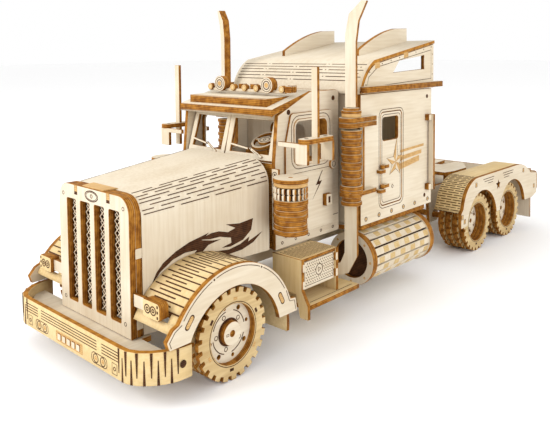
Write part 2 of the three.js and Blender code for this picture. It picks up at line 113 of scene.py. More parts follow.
def add_node(tree, kind, **inputs):
    """New shader node with its named inputs fed; _ stands for the space in an input's name."""
    node = tree.nodes.new("ShaderNode" + kind)
    for name, value in inputs.items():
        feed(tree, value, node.inputs[name.replace("_", " ")])
    return node


def maths(tree, operation, *values):
    """One maths node on one or two sockets or numbers."""
    node = add_node(tree, "Math")
    node.operation = operation
    for value, socket in zip(values, node.inputs):
        feed(tree, value, socket)
    return node.outputs[0]


def noise(tree, place, scale, stretch, detail=4):
    """Noise drawn out along the grain by stretch."""
    mapping = add_node(tree, "Mapping", Vector=place, Scale=stretch)
    texture = add_node(tree, "TexNoise", Vector=mapping.outputs["Vector"], Scale=scale, Detail=detail)
    return texture.outputs["Fac"]


def wood(name, axis, bent=False, face=PALE, edge=BURNT):
    """Plywood material with grained faces across axis and layered, burnt edges."""
    material = bpy.data.materials.new(name)
    material.use_nodes = True
    tree = material.node_tree
    shader = tree.nodes["Principled BSDF"]
    shader.inputs["Specular IOR Level"].default_value = 0.1
    source = add_node(tree, "TexCoord")
    axis = Vector(axis).normalized()
    dots = []
    for socket in ("Normal", "Object"):
        dot = add_node(tree, "VectorMath")
        dot.operation = "DOT_PRODUCT"
        dot.inputs[1].default_value = axis
        tree.links.new(source.outputs[socket], dot.inputs[0])
        dots.append(dot.outputs["Value"])
    facing = maths(tree, "ABSOLUTE", dots[0])
    mask = add_node(tree, "MapRange", Value=facing, From_Min=0.55, From_Max=0.8, To_Min=float(bent),
                    To_Max=float(not bent))
    place = source.outputs["Object"]
    along = (1, 0.06, 1) if abs(axis.y) < 0.9 else (1, 1, 0.06)
    grain = noise(tree, place, 900, along)
    mottle = noise(tree, place, 55, (1, 0.5, 1), 3)
    tone = maths(tree, "ADD", maths(tree, "MULTIPLY", grain, 0.45), maths(tree, "MULTIPLY", mottle, 0.55))
    pale = ramp_between(tree, tone, face, 0.38, 0.6)
    layer = maths(tree, "SINE", maths(tree, "MULTIPLY", dots[1], 2 * math.pi / PLY_LAYER))
    scorch = noise(tree, place, 420, (1, 1, 1))
    shade = maths(tree, "ADD", maths(tree, "MULTIPLY", layer, 0.14), scorch)
    burnt = ramp_between(tree, shade, edge, 0.3, 0.75)
    mix = add_node(tree, "Mix")
    mix.data_type = "RGBA"
    tree.links.new(mask.outputs["Result"], mix.inputs["Factor"])
    tree.links.new(burnt, mix.inputs["A"])
    tree.links.new(pale, mix.inputs["B"])
    rough = add_node(tree, "MapRange", Value=grain, To_Min=0.5, To_Max=0.8)
    bump = add_node(tree, "Bump", Height=shade, Strength=0.25, Distance=0.0001)
    feed(tree, mix.outputs["Result"], shader.inputs["Base Color"])
    feed(tree, rough.outputs["Result"], shader.inputs["Roughness"])
    feed(tree, bump.outputs["Normal"], shader.inputs["Normal"])
    return material


AXES = {"x": (1, 0, 0), "y": (0, 1, 0), "z": (0, 0, 1)}
sheet_wood = {key: wood(f"plywood sheet {key}", axis) for key, axis in AXES.items()}


def finish_node(name, material):
    """Gives a CAD node that is already the right shape its plywood."""
    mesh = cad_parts[name].data
    mesh.materials.clear()
    mesh.materials.append(material)


for side in "lr":
    finish_node(f"chassis_rail_{side}", sheet_wood["x"])
    finish_node(f"steering_knuckle_{side}", sheet_wood["z"])
finish_node("chassis_ladder", sheet_wood["z"])
finish_node("front_axle", sheet_wood["z"])
finish_node("tie_rod", sheet_wood["z"])
for number in (1, 2):
    finish_node(f"rear_axle_{number}", sheet_wood["x"])

# ------------------------------------------------------------------ wheels
# Every tyre is a stack of ply rings: lugged rings alternate with plain ones, so the tread
# shows blocks and dark gaps. A pierced disc and a hub cap are glued inside it.
TAN = ((0.42, 0.24, 0.085, 1), (0.60, 0.38, 0.16, 1))
DARK = ((0.035, 0.014, 0.006, 1), (0.10, 0.04, 0.015, 1))
TYRE = ((0.44, 0.30, 0.135, 1), (0.60, 0.45, 0.235, 1))
tyre_wood = wood("tyre plywood", AXES["x"], face=TYRE)
# Dark laser burn for engraved lines and marks; the same dark is also painted into gaps, holes and cut-outs
# as shade.
burn_and_shade = wood("laser burn", AXES["z"], face=DARK, edge=DARK)
tan_wood = wood("scorched plywood", AXES["z"], face=TAN, edge=TAN)
PLANE_AXIS = {"xy": "z", "xz": "y", "yz": "x"}
LINE_DEPTH = 0.03


def in_frame(plane, mesh):
    """Turns a flat mesh drawn in (u, v, thickness) millimetres into the truck's frame in metres."""
    for vertex in mesh.vertices:
        u, v, w = vertex.co
        vertex.co = {"xy": (u, v, w), "xz": (u, w, v), "yz": (w, u, v)}[plane]
        vertex.co *= 0.001
    if plane == "xz":
        mesh.flip_normals()
    mesh.update()
    return mesh


def sheet(plane, outline, low, high, holes=(), material=None, bevel=0.14):
    """Flat sheet between low and high across its plane, in millimetres, with holes and eased edges."""
    curve = bpy.data.curves.new("outline", "CURVE")
    curve.dimensions = "2D"
    curve.fill_mode = "BOTH"
    bevel = min(bevel, (high - low) / 4)
    curve.extrude = (high - low) / 2 - bevel
    curve.bevel_depth = bevel
    curve.bevel_resolution = 0
    curve.offset = -bevel
    for points in (outline, *holes):
        spline = curve.splines.new("POLY")
        spline.points.add(len(points) - 1)
        for point, (u, v) in zip(spline.points, points):
            point.co = (u, v, 0, 1)
        spline.use_cyclic_u = True
    drawn = bpy.data.objects.new("outline", curve)
    mesh = bpy.data.meshes.new_from_object(drawn)
    bpy.data.objects.remove(drawn)
    bpy.data.curves.remove(curve)
    for vertex in mesh.vertices:
        vertex.co.z += (low + high) / 2
    mesh.materials.clear()
    mesh.materials.append(material or sheet_wood[PLANE_AXIS[plane]])
    return in_frame(plane, mesh)


def rect(u0, v0, u1, v1):
    return [(u0, v0), (u1, v0), (u1, v1), (u0, v1)]


def arc(cu, cv, r, start, end, steps=8):
    """Points along an arc, in degrees."""
    angles = (math.radians(start + (end - start) * i / steps) for i in range(steps + 1))
    return [(cu + r * math.cos(a), cv + r * math.sin(a)) for a in angles]


def circle(cu, cv, r, sides=24):
    return arc(cu, cv, r, 0, 360 - 360 / sides, sides - 1)


def groove(plane, points, level, width=0.4, closed=False, material=None):
    """Laser-burnt line along points, a hair thick on the sheet's surface at level."""
    count = len(points)
    left, right = [], []
    for i, (u, v) in enumerate(points):
        before = points[(i - 1) % count] if closed or i else points[0]
        after = points[(i + 1) % count] if closed or i < count - 1 else points[-1]
        along = Vector((after[0] - before[0], after[1] - before[1])).normalized()
        side = Vector((-along.y, along.x)) * width / 2
        left.append((u + side.x, v + side.y))
        right.append((u - side.x, v - side.y))
    if closed:
        return patch(plane, left, level, material, [right])
    return patch(plane, left + right[::-1], level, material)


def patch(plane, outline, level, material=None, holes=()):
    """Burnt shape, or a cut-through shape filled dark as painted shade, lying on a sheet's surface, a hair
    thick.
    """
    return sheet(plane, outline, level - LINE_DEPTH, level + LINE_DEPTH, holes, material or burn_and_shade, bevel=0)


def ring(plane, u, v, r, level, width=0.3, sides=12, material=None):
    """Burnt circle round (u, v)."""
    return groove(plane, circle(u, v, r, sides), level, width, True, material)


def spot(plane, u, v, r, level, sides=12, material=None):
    """Filled circle round (u, v)."""
    return patch(plane, circle(u, v, r, sides), level, material)


def assemble(name, nodes, *meshes, body="truck", slot="plywood"):
    """Joins meshes into one piece that rides on body and stands for the CAD nodes."""
    whole = bmesh.new()
    materials = []
    for mesh in meshes:
        if mesh.materials[0] not in materials:
            materials.append(mesh.materials[0])
        start = len(whole.faces)
        whole.from_mesh(mesh)
        whole.faces.ensure_lookup_table()
        for face in whole.faces[start:]:
            face.material_index = materials.index(mesh.materials[0])
    joined = bpy.data.meshes.new(name)
    whole.to_mesh(joined)
    whole.free()
    for material in materials:
        joined.materials.append(material)
    obj = bpy.data.objects.new(name.replace(" ", "_"), joined)
    bpy.context.collection.objects.link(obj)
    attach(obj, body)
    if nodes:
        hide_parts(*nodes)
    return obj


def mirrored(mesh):
    """The same mesh on the truck's other side."""
    copy = mesh.copy()
    for vertex in copy.vertices:
        vertex.co.x = -vertex.co.x
    copy.flip_normals()
    copy.update()
    return copy


def pair(name, nodes, *meshes, body="truck", slot="plywood"):
    """Left piece and its mirror image; {} in body and nodes stands for the side."""
    bodies = [body.replace("{}", side) for side in ("left", "right")]
    names = [[n.replace("{}", side) for n in nodes] for side in ("l", "r")]
    assemble(f"{name} left", names[0], *meshes, body=bodies[0], slot=slot)
    assemble(f"{name} right", names[1], *(mirrored(m) for m in meshes), body=bodies[1], slot=slot)


def corners(node):
    """The CAD node's low and high corner in millimetres."""
    return tuple(tuple(c * 1000 for c in corner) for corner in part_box(node))


WHEEL_R = corners("front_wheel_l")[1][2] / 2


def lugs(y, z, r, phase, count=24):
    """Outline of a ring with square lugs."""
    points = []
    for i in range(count):
        middle = i * 360 / count + phase
        points += arc(y, z, r, middle - 4.4, middle + 4.4, 2)
        points += arc(y, z, r - 1.6, middle + 4.9, middle + 10.1, 2)
    return points


def wheel(node, name, body, nodes, dish, layers, star):
    """One wheel with its outer face away from the truck's middle line."""
    low, high = corners(node)
    y, z = (low[1] + high[1]) / 2, (low[2] + high[2]) / 2
    inner, outer = low[0], high[0]
    r = WHEEL_R - 0.05
    step = (outer - inner) / layers
    meshes = []
    for i in range(layers):
        near = outer - (i + 1) * step
        rim = circle(y, z, r - 2.1, 48) if i % 2 else lugs(y, z, r, 7.5 * (i // 2 % 2))
        meshes.append(sheet("yz", rim, near, near + step, [circle(y, z, 10.6, 36)], tyre_wood))
    hub = outer - dish
    holes = [circle(y, z, 1.9, 16)]
    for i in range(8):
        a = math.radians(i * 45 + 12)
        holes.append(circle(y + 8.9 * math.cos(a), z + 8.9 * math.sin(a), 0.62 + 0.2 * (i % 2), 12))
    meshes.append(sheet("yz", circle(y, z, 10.8, 36), hub - 2, hub, holes))
    if star:
        lobes = []
        for i in range(6):
            lobes += arc(y, z, 7.2, i * 60 - 17, i * 60 + 17, 4)
            lobes += arc(y, z, 5.2, i * 60 + 22, i * 60 + 38, 2)
        meshes.append(sheet("yz", lobes, hub, hub + 1.4, [circle(y, z, 4.6, 24)]))
    for start in (10, 100, 190, 280):
        meshes.append(groove("yz", arc(y, z, 7.6, start, start + 62, 10), hub + 0.04, 0.35))
    for i in range(5):
        a = math.radians(i * 72 + 40)
        cy, cz = y + 6.0 * math.cos(a), z + 6.0 * math.sin(a)
        top = hub + (1.44 if star else 0.04)
        meshes.append(ring("yz", cy, cz, 0.75, top, 0.25))
    # Painted shade: a dark disc under the hub cap shows as a dark ring in the gap round the cap.
    meshes.append(spot("yz", y, z, 5.0, hub + 0.05, 30))
    cap = sheet("yz", circle(y, z, 4.2, 30), hub, hub + 2.0, [circle(y, z, 1.15, 14)])
    meshes += [cap, groove("yz", rect(y - 2.9, z - 0.35, y - 1.8, z + 0.35), hub + 2.04, 0.2, closed=True)]
    # Painted shade: a dark fill inside the hub cap's hole.
    meshes.append(spot("yz", y, z, 1.2, hub + 1.0, 14))
    for i in range(6):
        a = math.radians(i * 60 + 25)
        cy, cz = y + 12.4 * math.cos(a), z + 12.4 * math.sin(a)
        tangent = Vector((-math.sin(a), math.cos(a)))
        ends = [(cy + tangent.x * k, cz + tangent.y * k) for k in (-0.9, 0.9)]
        meshes.append(groove("yz", ends, outer + 0.04, 1.0, material=tan_wood if i % 2 else burn_and_shade))
    meshes.append(ring("yz", y, z, 11.2, outer + 0.04, 0.25, 40))
    pair(name, nodes, *meshes, body=body)


wheel("front_wheel_l", "front wheel", "front_wheel_{}", ["front_wheel_{}"], 2.5, 5, False)
wheel("rear_wheel_1_l", "first rear wheel", "rear_axle_one", ["rear_wheel_1_{}"], 6, 8, True)
wheel("rear_wheel_2_l", "second rear wheel", "rear_axle_two", ["rear_wheel_2_{}"], 6, 8, True)

# ------------------------------------------------------------------ bumper and its deck
# One ply strip bent round the front: slits cut from above and below let the corners bend.
# Lamps, vents and a plain name plate are engraved; the deck behind it is one flat sheet.
WARM = ((0.60, 0.43, 0.20, 1), (0.71, 0.54, 0.29, 1))
warm_bent = {key: wood(f"smoked bent plywood {key}", AXES[key], bent=True, face=WARM) for key in "xz"}


def rounded(u0, v0, u1, v1, r, steps=4):
    """Rectangle with rounded corners."""
    return (arc(u1 - r, v0 + r, r, -90, 0, steps) + arc(u1 - r, v1 - r, r, 0, 90, steps)
            + arc(u0 + r, v1 - r, r, 90, 180, steps) + arc(u0 + r, v0 + r, r, 180, 270, steps))


def slit(quad):
    """Burnt cut through a bent skin: a thin strip on four corners in millimetres."""
    a, b, c, d = (Vector(p) * 0.001 for p in quad)
    out = (b - a).cross(d - a).normalized() * 0.00004
    mesh = bpy.data.meshes.new("slit")
    mesh.from_pydata([p + out * k for k in (1, -1) for p in (a, b, c, d)], [],
                     [(0, 1, 2, 3), (7, 6, 5, 4), (0, 4, 5, 1), (1, 5, 6, 2), (2, 6, 7, 3), (3, 7, 4, 0)])
    mesh.materials.append(burn_and_shade)
    return mesh


low, high = corners("front_bumper")
front, z0, z1 = low[1], low[2], high[2]
bend = [(0, front), (31, front), (34.5, front + 0.2), (38.2, front + 1.8), (41.6, front + 5),
        (44, front + 8.6), (45.5, front + 12.6), (46, high[1])]
inside = [(44, high[1]), (43.5, front + 13), (42.2, front + 9.6), (40, front + 6.4), (37, front + 3.7),
          (34, front + 2.2), (31, front + 2), (0, front + 2)]
strip = bend + inside
whole = strip[1:-1] + [(-u, v) for u, v in reversed(strip[1:-1])]
bumper = [sheet("xy", whole, z0, z1, material=warm_bent["z"])]
face = front - 0.04
for u0, u1 in ((-32, -22.5), (-20, 18), (21, 31)):
    bumper += [groove("xz", [(u0, z), (u1, z)], face, 0.3) for z in (18, 17, 16, 15)]
for s in (-1, 1):
    lamp_x, vent_x = s * 19.5, s * 28.5
    surround = rounded(lamp_x - 4.6, 10.2, lamp_x + 4.6, 13.8, 1.4)
    bumper.append(groove("xz", surround, face, 0.22, closed=True))
    for u in (lamp_x - 2.1, lamp_x + 2.1):
        bumper += [ring("xz", u, 12, 1.45, face, 0.3, 18),
                   spot("xz", u, 12, 0.75, face, material=tan_wood)]
    bumper += [groove("xz", rect(vent_x - 1.4, 10.2, vent_x + 1.4, 13.8), face, 0.2, closed=True),
               ring("xz", vent_x, 12, 0.6, face, 0.3, 10)]
    for i in range(11):
        t = min(i / 10 * 5, 4.999)
        a, b = bend[int(t) + 1], bend[int(t) + 2]
        u, v = a[0] + (b[0] - a[0]) * (t % 1), a[1] + (b[1] - a[1]) * (t % 1)
        along = Vector((b[0] - a[0], b[1] - a[1])).normalized()
        closed_end, open_end = (z1 - 2.6, z0) if i % 2 else (z0 + 2.6, z1)
        bumper.append(slit([(s * (u + along.x * k + along.y * 0.05), v + along.y * k - along.x * 0.05, z)
                            for k, z in ((-0.45, open_end), (0.45, open_end), (0.16, closed_end),
                                         (-0.16, closed_end))]))
    bumper.append(spot("yz", high[1] - 3.6, 14.4, 1.3, s * 45.95, 16))
bumper.append(patch("xz", rect(-9, 10.2, 9, 13.9), face, tan_wood))
for u in (-6.4, -3.2, 0, 3.2, 6.4):
    bumper.append(sheet("xz", rounded(u - 1.1, 10.9, u + 1.1, 13.2, 0.4), face - 0.3, face + 0.05))
assemble("front bumper", ["front_bumper"], *bumper)
finish_node("front_deck", sheet_wood["z"])

# ------------------------------------------------------------------ radiator grille
# A cream surround with four tall slots stands on a thick laminated body, and a lattice of
# crossed strips sits behind the slots. Two tabs and an oval badge without a letter finish the top.
BADGE_Z = 62.6


def ellipse(cu, cv, ru, rv, sides=24):
    turns = [2 * math.pi * i / sides for i in range(sides)]
    return [(cu + ru * math.cos(a), cv + rv * math.sin(a)) for a in turns]


low, high = corners("grille_surround")
front, back, top = low[1], high[1], high[2]
slots = [rounded(x - 3.2, 20.5, x + 3.2, 59.8, 0.6, 2) for x in (-14.1, -4.7, 4.7, 14.1)]
outline = [(-23, low[2]), (23, low[2])] + arc(17, top - 6, 6, 0, 90, 8) + arc(-17, top - 6, 6, 90, 180, 8)
grille = [sheet("xz", outline, front, front + 2.6, slots),
          sheet("xz", outline, front + 2.6, back, [rounded(-20.5, 18.6, 20.5, 61, 2)]),
          sheet("xy", [(-6.6, front + 0.4), (6.6, front + 0.4), (8, back + 1.2), (-8, back + 1.2)],
                top, top + 0.5, material=tan_wood)]
for s in (-1, 1):
    grille.append(patch("xz", rect(s * 10.7 - 1, top - 3.6, s * 10.7 + 1, top), front - 0.04))
    grille.append(patch("xz", rect(s * 10.7 - 0.8, top - 2.4, s * 10.7 + 1, top), front - 0.07, tan_wood))
    for z in (61.2, 21):
        grille.append(ring("xz", s * 19.8, z, 0.65, front - 0.04, 0.2))
    for z in (20.8, 45.6):
        tab = rect(front + 2.2, z - 1.8, back + 0.1, z + 1.8)
        grille.append(sheet("yz", tab, s * 23 - 0.3, s * 23 + 0.3))
grille += [groove("xz", ellipse(0, BADGE_Z, 4.2, 1.9), front - 0.05, 0.35, closed=True),
           groove("xz", ellipse(0, BADGE_Z, 3.444, 1.482), front - 0.05, 0.2, closed=True),
           ring("xz", 0, BADGE_Z, 0.7, front - 0.05, 0.25, 6)]
assemble("grille surround", ["grille_surround"], *grille)

low, high = corners("grille_mesh")
# Painted shade: a dark sheet behind the lattice stands for the shaded hollow inside the grille.
lattice = [sheet("xz", rect(low[0], low[2], high[0], high[2]), high[1] - 0.4, high[1], material=burn_and_shade)]
for x in (-15.7, -12.5, -6.3, -3.1, 3.1, 6.3, 12.5, 15.7):
    for phase in (0, 1):
        turns = [(x + (1.25 if (i + phase) % 2 else -1.25), 20.8 + i * 2.15) for i in range(19)]
        ribbon = [(u - 0.33, v) for u, v in turns] + [(u + 0.33, v) for u, v in reversed(turns)]
        near = low[1] - 0.7 + 0.3 * phase
        lattice.append(sheet("xz", ribbon, near, near + 0.3, bevel=0.05))
assemble("grille lattice", ["grille_mesh"], *lattice, slot="plywood_edge")

# ------------------------------------------------------------------ headlamps
# Small blocks of stacked ply on short arms beside the grille, each with two engraved
# lamp rings and three little marks on its front.
warm_wood = {key: wood(f"smoked plywood {key}", AXES[key], face=WARM) for key in "yz"}
low, high = corners("headlamp_l")
lamp_face = [(31, 27.3), (38.5, 27.3), (39.5, 28.2), (39.5, 32.3), (38.5, 33.2), (31, 33.2), (30.5, 32.7),
             (30.5, 27.8)]
mark = low[1] + 0.76
head = [sheet("xz", lamp_face, low[1] + 0.8, low[1] + 2.6, material=warm_wood["y"]),
        sheet("xz", [(u * 0.97 + 1, v * 0.97 + 0.9) for u, v in lamp_face], low[1] + 2.6, high[1]),
        sheet("xz", rect(23.5, 28, 31, 32.4), -146, -144.4)]
for u in (33, 36.1):
    head += [ring("xz", u, 30.3, 1.4, mark, 0.4, 16), ring("xz", u, 30.3, 0.55, mark, 0.4, 10)]
for z in (28.5, 30.3, 32.1):
    head.append(groove("xz", [(38.4, z - 0.45), (38.4, z + 0.45)], mark, 0.7))
pair("headlamp", ["headlamp_{}"], *head)

# ------------------------------------------------------------------ bonnet
# A single thin skin bent over shoulders: rows of dashed slits let it bend. Each side has
# flame shapes cut through it, and burnt lines where the sheet is scored. The flames are dark
# patches: burnt cut edges and painted shade of the hollow bonnet behind them.
HALF_SCORE = 0.012
bent_wood = {key: wood(f"bent plywood {key}", AXES[key], bent=True) for key in "xy"}
finish_node("hood", bent_wood["y"])
low, high = corners("hood")


def bonnet_skin(y, turn):
    """Point on the outside of the bonnet at y; turn is 0 on the side and 1 on the flat top."""
    t = (y - low[1]) / (high[1] - low[1])
    half, crest, r = 23 + 5 * t, 65.3 + 5.7 * t, 8 + 2 * t
    angle = math.radians(turn * 90)
    return (half - r + (r + 0.06) * math.cos(angle), y, crest - r + (r + 0.06) * math.sin(angle))


scores = []
for row in range(8):
    turn = 0.1 + row * 0.11
    for dash in range(-1, 5):
        y0 = low[1] + 1 + dash * 15.6 + (0, 7.4, 3.2, 11.2)[row % 4]
        span = (max(y0, low[1] + 0.6), min(y0 + 12.6, high[1] - 0.8))
        if span[1] - span[0] > 1:
            ends = ((span[0], -1), (span[1], -1), (span[1], 1), (span[0], 1))
            score = slit([bonnet_skin(y, turn + HALF_SCORE * k) for y, k in ends])
            scores += [score, mirrored(score)]

flames = [
    [(-138.2, 33.5), (-136.2, 37.2), (-133.4, 40), (-128, 43), (-122, 45.2), (-113, 47),
     (-116.5, 44.8), (-111.5, 43.7), (-107.5, 43.4), (-113.5, 42.4), (-118.6, 38.6), (-121, 39.6),
     (-118.6, 41.6), (-124, 41.7), (-129.3, 40.3), (-134.4, 37.2)],
    [(-117.6, 45.2), (-112, 46.6), (-108.4, 46.6), (-104, 45.4), (-100.4, 46.4), (-105, 48.6),
     (-98.4, 47.8), (-91.4, 48.6), (-92.4, 44.2), (-96.6, 41), (-103, 39.6), (-107, 40), (-102.4, 41),
     (-102.6, 43), (-108, 44.4), (-112.6, 44.4)],
    [(-109.6, 39.2), (-103.6, 38.6), (-98, 39.6), (-93.4, 41.6), (-94, 39.8), (-86.6, 42.4), (-91.4, 39),
     (-97.2, 37.2), (-103.6, 36.8), (-108.2, 38)],
]
# Each flame is a dark patch on the skin: its burnt edge and painted shade of the hollow behind the cut.
for flame in flames:
    shape = patch("yz", flame, 0)
    for vertex in shape.vertices:
        t = (vertex.co.y * 1000 - low[1]) / (high[1] - low[1])
        vertex.co.x += (23 + 5 * t + 0.05) * 0.001
    scores += [shape, mirrored(shape)]
assemble("bonnet slits and flames", [], *scores)

# ------------------------------------------------------------------ front wheel covers
# Each cover is an arched outer plate with stepped ends, an engraved border and two filled
# slots. A slit skin bends over the wheel behind it, to the side of the bonnet.
low, high = corners("front_fender_l")
cover_y, cover_z, cover_r = -119.2, 10.6, 30.4
SKIN_X = 23.4
BONNET_SPREAD = 0.0846
plate = (arc(cover_y, cover_z, cover_r, 27.7, 146.5, 36) + [(-146.9, 26.4), (-149.6, 23.2), (-148.6, 20.3)]
         + arc(cover_y, cover_z, 22.8, 154.8, 11.6, 36) + [(-86.6, 15.2), (-87.6, 20.5), (-90.5, 20.9)])
cover = [sheet("yz", plate, high[0] - 2, high[0])]
for start, end in ((31, 62), (66, 108), (112, 143)):
    cover.append(groove("yz", arc(cover_y, cover_z, cover_r - 1, start, end, 14), high[0] + 0.04, 0.25))
for line in ([(-93, 24.6), (-91.2, 20.1), (-88.4, 19.7), (-87.6, 15.8)],
             [(-143.4, 27.2), (-146.3, 25.7), (-148.6, 22.9), (-147.9, 21)]):
    cover.append(groove("yz", line, high[0] + 0.04, 0.25))
for angle in (64, 110):
    a = math.radians(angle)
    dot = circle(cover_y + (cover_r - 1) * math.cos(a), cover_z + (cover_r - 1) * math.sin(a), 0.4, 8)
    cover.append(patch("yz", dot, high[0] + 0.04))


def pill(y, z, turn, half, r):
    """Outline of a slot with round ends, turned by degrees."""
    c, s = math.cos(math.radians(turn)), math.sin(math.radians(turn))
    ends = arc(half, 0, r, -90, 90, 6) + arc(-half, 0, r, 90, 270, 6)
    return [(y + u * c - v * s, z + u * s + v * c) for u, v in ends]


for angle, y, z in ((27.3, -95.8, 22.5), (141.5, -140.2, 27)):
    cover += [patch("yz", pill(y, z, angle + 90, 1.7, 1), high[0] + 0.03),
              patch("yz", pill(y, z, angle + 90, 1.5, 0.7), high[0] + 0.06, tan_wood)]
spans = ((SKIN_X, 44, -6, 141.5), (SKIN_X, 29.8, 141.5, 148), (40.2, 44, 141.5, 148),
         (SKIN_X, 44, 148, 154))
for x0, x1, start, end in spans:
    steps = max(2, round((end - start) / 4))
    curve = arc(cover_y, cover_z, cover_r - 0.2, start, end, steps)
    curve += arc(cover_y, cover_z, cover_r - 1.8, end, start, steps)
    skin = sheet("yz", curve, x0, x1, material=warm_bent["x"])
    for vertex in skin.vertices:
        beside = 22.97 + max(0, vertex.co.y * 1000 + 145.8) * BONNET_SPREAD
        if vertex.co.x < 0.0245 and vertex.co.y < -0.0828:
            vertex.co.x += (beside - x0) * 0.001 if beside > x0 else 0
    cover.append(skin)


def cross_slit(x0, x1, middle, half):
    """Slit across the truck from x0 to x1; middle and half its width are vectors in y and z."""
    return slit([(x, *(middle + half * k)) for x, k in ((x0, -1), (x1, -1), (x1, 1), (x0, 1))])


for i in range(45):
    a = math.radians(14 + i * 2.9)
    place = Vector((cover_y + (cover_r - 0.13) * math.cos(a), cover_z + (cover_r - 0.13) * math.sin(a)))
    half = Vector((-math.sin(a), math.cos(a))) * 0.24
    inner_x = SKIN_X + max(0, place.x + 145.8) * BONNET_SPREAD
    x0, x1 = (inner_x + 0.6, 38.4) if i % 2 else (inner_x + 4.6, 43.95)
    cover.append(cross_slit(x0, x1, place, half))
pair("front wheel cover", ["front_fender_{}"], *cover)

# ------------------------------------------------------------------ windscreen
# Two flat frames lean back in a shallow V with a dark gap between them; the dark strip in the
# gap is painted shade. Each carries a little wiper cut from thin ply: a blade, an arm and a round pivot.
PANE_WIDTH = 26.6
SILL_Z = 0.0693
lean_back = Matrix.Rotation(math.radians(-15.5), 4, "X")
blade = ((2.5, 5.4), (13, 3.9), (13.1, 4.6), (2.6, 6.1))
arm = ((13.8, 4.1), (20.6, 0.7), (21.5, 1.5), (14.4, 5))
panes = []
for s in (1, -1):
    left = min(0, PANE_WIDTH * s)
    if s > 0:
        border, glass = rect(0.35, 0, PANE_WIDTH, 19.6), rect(3, 2.6, 24, 17)
    else:
        border, glass = rect(left, 0, left + 26.25, 19.6), rect(left + 2.6, 2.6, left + 23.6, 17)
    frame_sheet = sheet("xz", border, 0, 1.6, [glass], bevel=0.2)
    wiper = [sheet("xz", [(left + u, v) for u, v in blade], -0.5, -0.1, bevel=0.05),
             sheet("xz", [(left + u, v) for u, v in arm], -0.75, -0.2, bevel=0.1),
             ring("xz", left + 14.4, 4.5, 0.5, -0.8, 0.3, 10),
             groove("xz", [(left + 16, 3.6), (left + 19.4, 1.9)], -0.79, 0.18)]
    swept = Matrix.Rotation(math.radians(5 * s), 4, "Z") @ lean_back
    for mesh in (frame_sheet, *wiper):
        mesh.transform(Matrix.Translation((0, -0.0812, SILL_Z)) @ swept)
        panes.append(mesh)
# Painted shade: a dark strip fills the gap between the frames.
panes.append(sheet("xz", rect(-1.2, 0.3, 1.2, 18.2), 0.2, 0.6, material=burn_and_shade))
panes[-1].transform(Matrix.Translation((0, -0.0798, SILL_Z)) @ lean_back)
assemble("windscreen frames", ["windshield_frame"], *panes)

# ------------------------------------------------------------------ cab sides and doors
# Each side is one sheet with a rounded window, lined with a thick frame. The fixed door is a
# second sheet with a lightning cut-out, a box handle and a round knob; a rocker runs below it.
wall_x = 29
side_sheet = [(-80, 33.3), (-37.5, 33.3), (-37.5, 95)] + arc(-39.5, 95, 2, 0, 90, 4) + [
    (-57.5, 97), (-78, 88.2), (-80, 69)]
opening = rounded(-69.5, 66.5, -46.5, 86, 3.4, 5)
bolt = [(-50.2, 62.4), (-55.2, 56.4), (-52.9, 56.6), (-57.4, 50.6), (-50.9, 58), (-53, 57.9), (-51, 62.2)]
door = ([(-74.5, 37.5), (-43, 37.5)] + arc(-45, 86.6, 2, 0, 90, 4) + arc(-69.5, 86.6, 2, 90, 150, 4)
        + [(-74.5, 76)])
rubber = rounded(-70.9, 65.1, -45.1, 87.4, 4.6, 5)


def box(x, y, z, grain="x", material=None):
    """Small block between pairs of coordinates in millimetres."""
    return sheet("yz", rect(y[0], z[0], y[1], z[1]), x[0], x[1], material=material or sheet_wood[grain])


cab = [sheet("yz", side_sheet, wall_x - 2, wall_x, [opening]),
       sheet("yz", door, wall_x, wall_x + 1, [opening]),
       sheet("yz", opening, wall_x - 3.6, wall_x + 1.3, [rounded(-68.5, 67.5, -47.5, 85, 2.6, 5)]),
       groove("yz", rubber, wall_x + 1.04, 0.3, closed=True),
       patch("yz", bolt, wall_x + 1.03),
       box((wall_x + 1, wall_x + 3.2), (-50.4, -46.6), (46.9, 51.9)),
       patch("yz", rect(-49.2, 48, -47.8, 50.8), wall_x + 3.25),
       sheet("yz", circle(-43.6, 64.4, 2.3, 18), wall_x + 0.2, wall_x + 2),
       ring("yz", -43.6, 64.4, 1.2, wall_x + 2.04, 0.25),
       groove("yz", [(-79.6, 41), (-38, 41)], wall_x + 0.05, 0.3),
       groove("yz", [(-72.9, 38.4), (-72.9, 63.4), (-44.2, 63.4)], wall_x + 1.04, 0.22)]
for y, z in ((-71.6, 89.2), (-41.5, 93.4)):
    cab.append(spot("yz", y, z, 1.1, wall_x + 0.06, 16))
for y in (-76, -67.5, -59, -50.5, -42):
    cab.append(ring("yz", y, 35.6, 0.55, wall_x + 0.05, 0.3, 10))
cab.append(sheet("xz", rect(28.4, 42, 31.8, 67), -81.4, -80.1))
for i in range(6):
    z = 44.2 + i * 4.1
    cab += [ring("xz", 30.1, z, 1.15, -81.44, 0.25, 14),
            spot("xz", 30.1, z, 0.5, -81.44, 10)]
pair("cab side", ["cab_side_{}"], *cab)

# ------------------------------------------------------------------ cab floor, back and roof
# Plain sheets close the cab behind and below. The roof is two thick plates that step down to
# a peak over the windscreen, all in the layered brown of their cut edges.
finish_node("floor_and_bulkhead", sheet_wood["z"])
finish_node("cab_back", sheet_wood["y"])
step = [(-79.4, 91.2), (-79.4, 94.9), (-62, 95.5), (-62, 92.4)]
peak = [(-81.5, 87.6), (-81.5, 90.6), (-80.2, 91.3), (-57, 97.4), (-57, 95.2), (-79.8, 88.4)]
plates = [sheet("yz", step, -24, 24, material=sheet_wood["z"]),
          sheet("yz", peak, -28.5, 28.5, material=sheet_wood["z"])]
assemble("visor plates", ["cab_roof_visor"], *plates)

